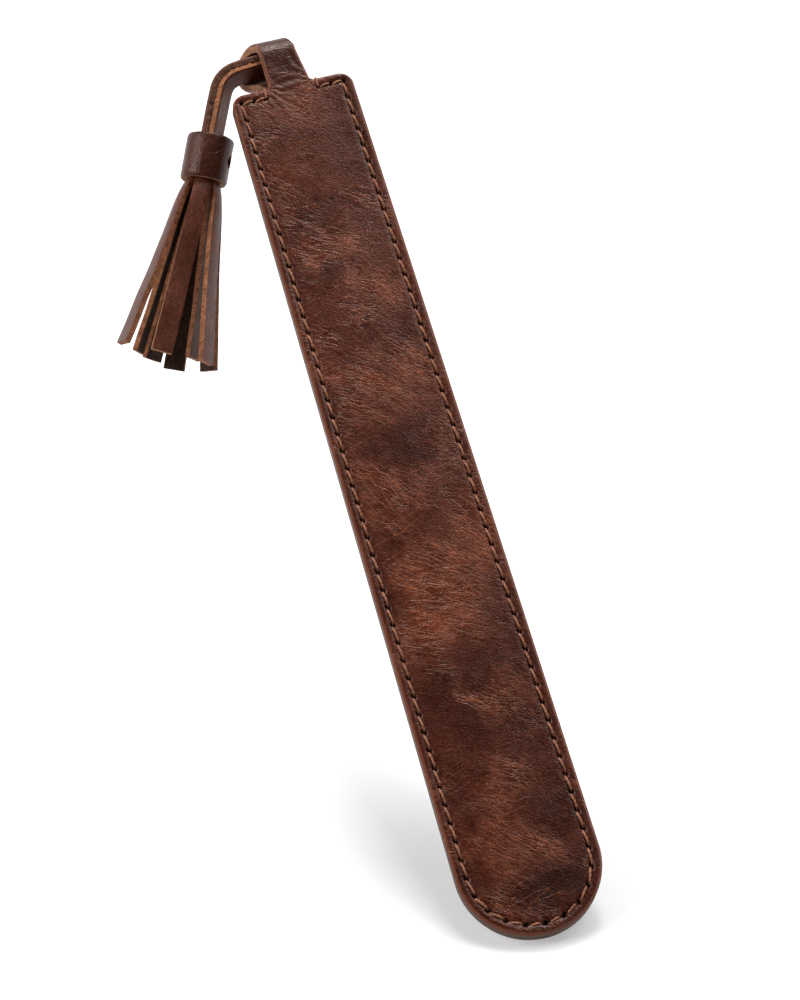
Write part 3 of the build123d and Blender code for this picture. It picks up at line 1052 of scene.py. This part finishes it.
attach(back, "bookmark")

# %% [markdown]
# ## Stitches
#
# Waxed thread is two plies twisted together. One stitch is a small cylinder whose section is pinched into
# two lobes that turn along its length; its ends dive into the holes. It is shaped once and copied to every
# pair of holes, front and back, a little aslant as saddle stitching lies.

# %% Thread
thread_radius = 0.30
thread_sides = 7
ply_mean, ply_depth = 0.86, 0.17
along_no_stitch = np.array((0.31, 0.95, 0.07))


def twisted_tube(name, route, radius, twist):
    """A two-ply thread along a route of points: a cylinder moved onto the route ring by ring."""
    route = np.array(route)
    last = len(route) - 1
    bpy.ops.object.select_all(action="DESELECT")
    bpy.ops.mesh.primitive_cylinder_add(vertices=thread_sides, radius=radius, depth=1, end_fill_type="NGON")
    tube = bpy.context.object
    tube.name = name
    edit(tube)
    select_edges(tube, lambda edge: abs(edge.verts[0].co.z - edge.verts[1].co.z) > 0.5)
    bpy.ops.mesh.subdivide(number_cuts=last - 1)
    bpy.ops.object.mode_set(mode="OBJECT")
    points = read_points(tube)
    ring = np.rint((points[:, 2] + 0.5) * last).astype(int)
    angle = np.arctan2(points[:, 1], points[:, 0])
    headings = np.gradient(route, axis=0)
    headings /= np.linalg.norm(headings, axis=1)[:, None]
    aside = np.cross(headings, along_no_stitch)
    aside /= np.linalg.norm(aside, axis=1)[:, None]
    upward = np.cross(aside, headings)
    lobes = ply_mean + ply_depth * np.cos(2 * (angle - twist * tau * ring / last))
    outwards = np.cos(angle)[:, None] * aside[ring] + np.sin(angle)[:, None] * upward[ring]
    write_points(tube, route[ring] + (radius * lobes)[:, None] * outwards)
    return tube


# %% One stitch
stitch_steps = 9
stitch_turns = 2.0
stitch_share = 0.93
stitch_dive = 1.15
stitch_rise = 0.14
stitch_lean = 0.55
stitch_fullness = 0.45


def stitch_route(length):
    """One stitch seen from its own middle: along X, rising towards -Y, ends down in the holes."""
    route = []
    for step in range(stitch_steps):
        share = step / (stitch_steps - 1)
        lift = max(sin(pi * share), 0) ** stitch_fullness
        depth = stitch_dive * (1 - lift) - stitch_rise * lift
        route.append(((share - 0.5) * length, depth, (share - 0.5) * stitch_lean))
    return route


# %% Sewing and joining
def sew(name, face_y, facing):
    """Copies of one stitch between each pair of holes on one face."""
    pattern = twisted_tube(name, stitch_route(stitch_pitch * stitch_share), thread_radius, stitch_turns)
    along_x, depth, aside = np.split(read_points(pattern), 3, axis=1)
    copies = []
    for first, second in zip(holes, holes[1:]):
        middle = (first + second) / 2
        reach = second - first
        length = float(np.linalg.norm(reach))
        along = np.array((reach[0], 0, reach[1])) / length
        across = np.array((-along[2], 0, along[0])) * facing
        copy = pattern.copy()
        copy.data = pattern.data.copy()
        bpy.context.collection.objects.link(copy)
        centre = np.array((middle[0], face_y, middle[1]))
        stretched = along_x * length / stitch_pitch
        write_points(copy, centre + stretched * along + depth * np.array((0, facing, 0)) + aside * across)
        copies.append(copy)
    bpy.data.objects.remove(pattern)
    return copies


def join_pieces(pieces, name):
    """Joins copies into one piece with its own mesh, faces outwards."""
    bpy.ops.object.select_all(action="DESELECT")
    for piece in pieces:
        piece.select_set(True)
    bpy.context.view_layer.objects.active = pieces[0]
    bpy.ops.object.join()
    pieces[0].name = name
    edit(pieces[0])
    bpy.ops.mesh.select_all(action="SELECT")
    bpy.ops.mesh.normals_make_consistent(inside=False)
    bpy.ops.object.mode_set(mode="OBJECT")
    return pieces[0]


# %% [markdown]
# On both sides of the tab one longer stitch goes over the top edge, from the last hole in front to the same
# hole at the back, and holds the layers together where the loop pulls.

# %% Sew both faces
wrap_rise = 0.12
wrap_corner = 0.5
wrap_dive = 1.1
wrap_lip = 0.3
wrap_rounding = 0.1
wrap_down = 1.2
wrap_lean = 0.25
wrap_turns = 3.5
wrap_top = top_z + wrap_rise
wrap_front = front_y - wrap_rise
wrap = [
    (stitch_top_z, front_y + wrap_dive),
    (stitch_top_z + wrap_lip, wrap_front),
    (wrap_top - wrap_down, wrap_front),
    (wrap_top - wrap_corner, wrap_front + wrap_rounding),
    (wrap_top, front_y + wrap_corner),
    (wrap_top, -leather),
    (wrap_top, -wrap_corner),
    (wrap_top - wrap_corner, wrap_rise - wrap_rounding),
    (wrap_top - wrap_down, wrap_rise),
    (stitch_top_z + wrap_lip, wrap_rise),
    (stitch_top_z, -wrap_dive),
]
front_stitches = sew("front_stitch", front_y, 1)
for wrap_side in (-1, 1):
    wrap_x = wrap_side * stitch_neck_x
    leaning = [wrap_x - wrap_side * wrap_lean * step / (len(wrap) - 1) for step in range(len(wrap))]
    route = [(x, y, z) for x, (z, y) in zip(leaning, wrap)]
    front_stitches.append(twisted_tube("edge_wrap", route, thread_radius, wrap_turns))
front_seam = join_pieces(front_stitches, "front_stitching")
back_seam = join_pieces(sew("back_stitch", 0, -1), "back_stitching")
for seam, node in ((front_seam, "front_thread"), (back_seam, "back_thread")):
    seam.data.materials.append(waxed_thread)
    finish_piece(seam, "thread", node)
    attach(seam, "bookmark")

# %% [markdown]
# ## Lace
#
# Two flat strips lie flesh to flesh in the loop, come out of its left mouth, bend down and go into the
# sleeve. They are one free cord, so they follow one smooth route, the seam between them. Each strip is a grid
# laid along the seam and rolled about its front edge, the inner one more, so that its grain shows from below.
# Once a strip has its thickness, the grain is rounded over its front corner and the flesh behind it frayed.

# %% Lace sizes and plane
lace_width = 4.2
lace_thickness = 1.5
lace_gap = 0.12
lace_rise = 1.15
lace_start = -0.3
lace_bend_starts = -9.6
lace_shoulder = (-13.9, -0.6)
lace_straight = 9.5
lace_tuck = 4.4
lace_shift = 1.0
lace_steps = 40
tassel_lean = radians(12.0)
tassel_tilt = radians(24.5)
sleeve_top = (-19.22, -13.5)
lace_origin = Vector((0, loop_y, loop_z))
lace_up = Vector((0, -sin(tassel_lean), cos(tassel_lean)))
lace_front = Vector((0, -cos(tassel_lean), -sin(tassel_lean)))


def in_lace_plane(x, up):
    """A place in the plane that the lace and tassel hang in."""
    return lace_origin + Vector((x, 0, 0)) + lace_up * up


def along_sleeve(distance):
    """Place on the sleeve's axis in the lace's plane, measured down from its top rim."""
    return (sleeve_top[0] - sin(tassel_tilt) * distance, sleeve_top[1] - cos(tassel_tilt) * distance)


def beside_axis(distance):
    """Place on the seam between the strips, which lies left of the sleeve's axis."""
    x, up = along_sleeve(distance)
    return (x - cos(tassel_tilt) * lace_shift, up + sin(tassel_tilt) * lace_shift)


# %% Lace route
def read_route(points, steps):
    """Points along a smooth curve with the given control points."""
    curve = bpy.data.curves.new("route", "CURVE")
    curve.dimensions = "3D"
    spline = curve.splines.new("NURBS")
    spline.points.add(len(points) - 1)
    for control, point in zip(spline.points, points):
        control.co = (*point, 1)
    spline.order_u = 3
    spline.use_endpoint_u = True
    spline.resolution_u = steps
    line = bpy.data.objects.new("route", curve)
    bpy.context.collection.objects.link(line)
    mesh = bpy.data.meshes.new_from_object(line)
    found = [vertex.co.copy() for vertex in mesh.vertices]
    bpy.data.objects.remove(line)
    bpy.data.meshes.remove(mesh)
    return found


def length_of(line):
    """Length along a line of points."""
    return sum((b - a).length for a, b in zip(line, line[1:]))


# Inside the loop, out of its mouth, over the bend, down beside the sleeve's axis and into the sleeve.
lace_route = [
    (lace_start, lace_rise),
    (lace_bend_starts, lace_rise),
    lace_shoulder,
    beside_axis(-lace_straight),
    beside_axis(lace_tuck),
]
lace_line = read_route([in_lace_plane(*point) for point in lace_route], lace_steps)
print("lace route", len(lace_line), "points,", round(length_of(lace_line), 1), "mm")


# %% Strips
def strip_grid(name, across, along):
    """A grid of faces to be laid as a strip, with each point's share across and along."""
    bpy.ops.object.select_all(action="DESELECT")
    bpy.ops.mesh.primitive_grid_add(x_subdivisions=across, y_subdivisions=along, size=2)
    strip = bpy.context.object
    strip.name = name
    shares = (read_points(strip)[:, :2] + 1) / 2
    return strip, shares


def face_outwards(strip, outwards):
    """Turns a strip's faces over if its first face looks the wrong way."""
    if strip.data.polygons[0].normal.dot(outwards) < 0:
        turn_over(strip)


# %% Lace strips
lace_across = 10
ragged_reach, ragged_rate = 0.07, 34
torn_mean, torn_reach, torn_rate = 0.30, 0.50, 46
lace_sides = {
    # The outer strip's cut edge is the darker copy: painted shade.
    "outer_lace": ("lace_outer", 1, radians(12.0), 0.6, shaded_lace_edge),
    "inner_lace": ("lace_inner", -1, radians(33.0), 0.15, raw_edge),
}


def lay_strip(name, node, side, roll, corner, edge):
    """One lace strip along the seam, on its outer (1) or inner (-1) side, rolled about its front edge."""
    along = len(lace_line) - 1
    strip, shares = strip_grid(name, lace_across, along)
    centre_line = []
    points = []
    fray = []
    for share_across, share_along in shares:
        step = round(share_along * along)
        heading = (lace_line[min(step + 1, along)] - lace_line[max(step - 1, 0)]).normalized()
        outer = heading.cross(lace_front).normalized()
        width_way = lace_front * cos(roll) + outer * sin(roll)
        grain_way = (outer * cos(roll) - lace_front * sin(roll)) * side
        hinge = lace_line[step] + lace_front * lace_width / 2 + outer * side * lace_gap / 2
        uneven = noise.noise(Vector((share_along * ragged_rate, side * 7, share_across * 3)))
        back = width_way * (share_across - 1) * lace_width
        points.append(hinge + back + grain_way * lace_thickness + width_way * (ragged_reach * uneven))
        if share_across == 0.5:
            centre_line.append((step, points[-1] - grain_way * lace_thickness / 2))
        if share_across == 1:
            torn = torn_mean + torn_reach * noise.noise(Vector((share_along * torn_rate, side * 3, 0)))
            fray.append((len(points) - 1, -grain_way * corner, -width_way * max(torn, 0)))
    write_points(strip, points)
    face_outwards(strip, Vector((0, 0, side)))
    thicken(strip, lace_thickness, [tassel_leather, flesh_side, edge])
    worked = read_points(strip)
    for index, rounded, torn in fray:
        worked[index] += rounded
        worked[len(shares) + index] += torn
    write_points(strip, worked)
    finish_piece(strip, "lace_leather", node)
    return strip, [point * MM for _, point in sorted(centre_line, key=lambda pair: pair[0])]


lace_pieces = {name: lay_strip(name, *settings) for name, settings in lace_sides.items()}
for name, (piece, centre) in lace_pieces.items():
    print(name, "length", round(length_of(centre) / MM, 1))

# %% [markdown]
# ## Sleeve
#
# The sleeve is a short band wrapped into a ring round the lace's end and the strands' heads, butted at the
# back. So it is made as a flat grid, wrapped by its length, given its wall, and punched with one round hole
# at the right. Both rims were cut aslant, so a line of raw leather shows at the top and a wider one below.

# %% Sleeve band
sleeve_length = 9.25
sleeve_radius = 5.2
sleeve_wall = 1.4
sleeve_seam = 0.15
sleeve_around, sleeve_down = 120, 22
rim_bevel = 0.2
lower_slant, upper_slant = 0.5, 0.25
lower_reach, upper_reach = 0.4, 0.3
belly_height = 0.05
lip_height = 0.10

mouth = in_lace_plane(*along_sleeve(sleeve_length))
mouth_axis = (mouth - in_lace_plane(*along_sleeve(sleeve_length - 1))).normalized()
mouth_right = lace_front.cross(mouth_axis).normalized()
if mouth_right.x < 0:
    mouth_right = -mouth_right


def radial(azimuth):
    """Direction out of the sleeve at an azimuth from the front towards the right."""
    return mouth_right * sin(azimuth) + lace_front * cos(azimuth)


sleeve, shares = strip_grid("sleeve_band", sleeve_around, sleeve_down)
half_seam = sleeve_seam / sleeve_radius / 2
points = []
for share_around, share_down in shares:
    azimuth = pi + half_seam + share_around * (tau - 2 * half_seam)
    height = lower_reach - (sleeve_length + lower_reach + upper_reach) * (1 - share_down)
    from_rim = min(share_down, 1 - share_down) * sleeve_length
    drop = max(rim_bevel - from_rim, 0)
    belly = belly_height * noise.noise(Vector((cos(azimuth) * 2, sin(azimuth) * 2, height * 0.4)))
    if from_rim < close_by:
        height += lip_height * noise.noise(Vector((cos(azimuth) * 3, sin(azimuth) * 3, share_down * 9)))
    points.append(mouth + mouth_axis * height + radial(azimuth) * (sleeve_radius - drop + belly))
write_points(sleeve, points)
face_outwards(sleeve, sleeve.data.polygons[0].center - mouth)
# The rims take the lighter raw edge: painted light where they lie in shade.
thicken(sleeve, sleeve_wall, [sleeve_leather, flesh_side, lit_raw_edge])
points = read_points(sleeve)
flesh = len(shares)
for index, (share_around, share_down) in enumerate(shares):
    if share_down in (0, 1):
        points[flesh + index] += mouth_axis * (lower_slant if share_down else -upper_slant)
write_points(sleeve, points)
print("sleeve faces before its hole", len(sleeve.data.polygons))

# %% Punch the sleeve
punch_radius = 1.5
punch_depth = sleeve_wall * 4
punch_sides = 24
punch_azimuth = radians(74.0)
bpy.ops.object.select_all(action="DESELECT")
punched_at = mouth - mouth_axis * sleeve_length / 2 + radial(punch_azimuth) * sleeve_radius
bpy.ops.mesh.primitive_cylinder_add(
    vertices=punch_sides, radius=punch_radius, depth=punch_depth, location=punched_at)
punch = bpy.context.object
punch.rotation_mode = "QUATERNION"
punch.rotation_quaternion = radial(punch_azimuth).to_track_quat("Z", "Y")
bpy.ops.object.transform_apply(location=True, rotation=True, scale=True)
punch.data.materials.append(raw_edge)
cut = sleeve.modifiers.new("punch", "BOOLEAN")
cut.operation = "DIFFERENCE"
cut.object = punch
cut.material_mode = "TRANSFER"
bpy.context.view_layer.objects.active = sleeve
bpy.ops.object.modifier_apply(modifier="punch")
bpy.data.objects.remove(punch)
finish_piece(sleeve, "tassel_leather", "sleeve")
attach(sleeve, "tassel")

# %% [markdown]
# ## Strands
#
# The tassel is eight strips cut from the same leather, grain outwards, six in a ring and two within it. Each
# leaves the sleeve along its axis, bends out to its own splay and hangs straight, widening to the tip, with a
# lean and a twist of its own. In the sleeve a strip takes the sleeve's curve, and flattens as it hangs. The
# outer ones turn just below the sleeve, the inner ones along their whole length.

# %% Strand sizes
strand_across, strand_along = 8, 56
strand_length = 40.5
strand_head = 4.0
strand_head_width = 2.3
strand_curved_width = 3.4
front_strand_width = 4.0
strand_tip_width = 4.7
strand_thickness = 1.2
strand_bend_radius = 10.0
strand_flattens_in = 14.0
strand_turns_in = 8.0
strand_bulge, bulge_below = 0.7, 5.0
strand_clearance = 0.06
uneven_reach, uneven_rate = 0.09, 0.9
curl_height, curl_rate = 0.25, 0.12

bore_radius = sleeve_radius - sleeve_wall - strand_clearance
outer_ring = bore_radius * cos(asin(strand_head_width / 2 / bore_radius)) - strand_thickness / 2
inner_face = outer_ring - strand_thickness / 2 - strand_clearance
inner_ring = inner_face * cos(asin(strand_head_width / 2 / inner_face)) - strand_thickness / 2
print("rings of strands", round(outer_ring, 2), round(inner_ring, 2))

# %% [markdown]
# A strand is a grid laid along its middle line and thickened, with its cut sides a little uneven. A row below
# gives a strand's azimuth, its splay in degrees, its extra length, and its lean and twist in degrees.

# %% Strand places
outer_strands = [
    (0, 5, 0.6, 3.4, 16), (62, 7.8, 1.0, 0, -6), (120, 10, 1.0, 0, 8),
    (177, 9, 1.2, 1.0, -9), (233, 8.5, -0.4, 0, 10), (289, 12.4, 0.4, 0, 4),
]
inner_strands = [(92, 5, -0.4, 0.5, -40), (212, 7, 0.6, -1.2, 9)]
strands = [(outer_ring, *strand) for strand in outer_strands]
strands += [(inner_ring, *strand) for strand in inner_strands]


def strand_line(ring, out, splay, length):
    """Place and outward direction of a strand's middle line at a length below the mouth."""
    bend = min(max(length, 0), radians(splay) * strand_bend_radius)
    turn = bend / strand_bend_radius
    heading = mouth_axis * cos(turn) + out * sin(turn)
    beside = mouth + out * (ring + strand_bend_radius * (1 - cos(turn)))
    start = beside + mouth_axis * strand_bend_radius * sin(turn)
    return start + heading * (length - bend), out * cos(turn) - mouth_axis * sin(turn)


# %% Lay the strands
for number, (ring, azimuth, splay, spare, lean, twist) in enumerate(strands, 1):
    name = f"strand_{number}"
    out = radial(radians(azimuth))
    wide = mouth_axis.cross(out)
    total = strand_length + spare
    in_front = azimuth == 0
    outermost = ring == outer_ring
    head_width = strand_curved_width if outermost else strand_head_width
    head_width = front_strand_width if in_front else head_width
    turns_in = strand_turns_in if outermost else total
    bulge = strand_bulge if outermost else 0
    strip, shares = strip_grid(f"tassel_strip_{number}", strand_across, strand_along)
    points = []
    for share_across, share_along in shares:
        length = -strand_head + share_along * (total + strand_head)
        hanging = max(length, 0)
        below = hanging / bulge_below
        opening = hanging / total
        turned = radians(twist) * min(hanging / turns_in, 1)
        middle, outward = strand_line(ring, out, splay, length)
        middle += wide * sin(radians(lean)) * hanging
        middle += outward * (bulge * below * np.exp(1 - below))
        across_way = wide * cos(turned) + outward * sin(turned)
        grain_way = outward * cos(turned) - wide * sin(turned)
        width = head_width + (strand_tip_width - head_width) * opening
        uneven = noise.noise(Vector((length * uneven_rate, number * 5, share_across * 2)))
        curl = noise.noise(Vector((length * curl_rate, number * 11, 0)))
        aside = (share_across - 0.5) * width + uneven_reach * opening * uneven
        curve_radius = (ring + strand_thickness / 2) * np.exp(hanging / strand_flattens_in)
        turn = aside / curve_radius
        lift = strand_thickness / 2 + curl_height * opening * curl - curve_radius * (1 - cos(turn))
        points.append(middle + grain_way * lift + across_way * curve_radius * sin(turn))
    write_points(strip, points)
    face_outwards(strip, out)
    thicken(strip, strand_thickness, [tassel_leather, flesh_side, raw_edge])
    finish_piece(strip, "tassel_leather", name)
    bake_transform(strip)

# %% [markdown]
# ## The lace strips
#
# Both strips keep the places they were laid in, a smooth route from the loop of the bookmark to the tassel's
# sleeve, and their transforms are baked into their meshes.

for name, (piece, centre) in lace_pieces.items():
    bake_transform(piece)
print("cords", *lace_pieces)
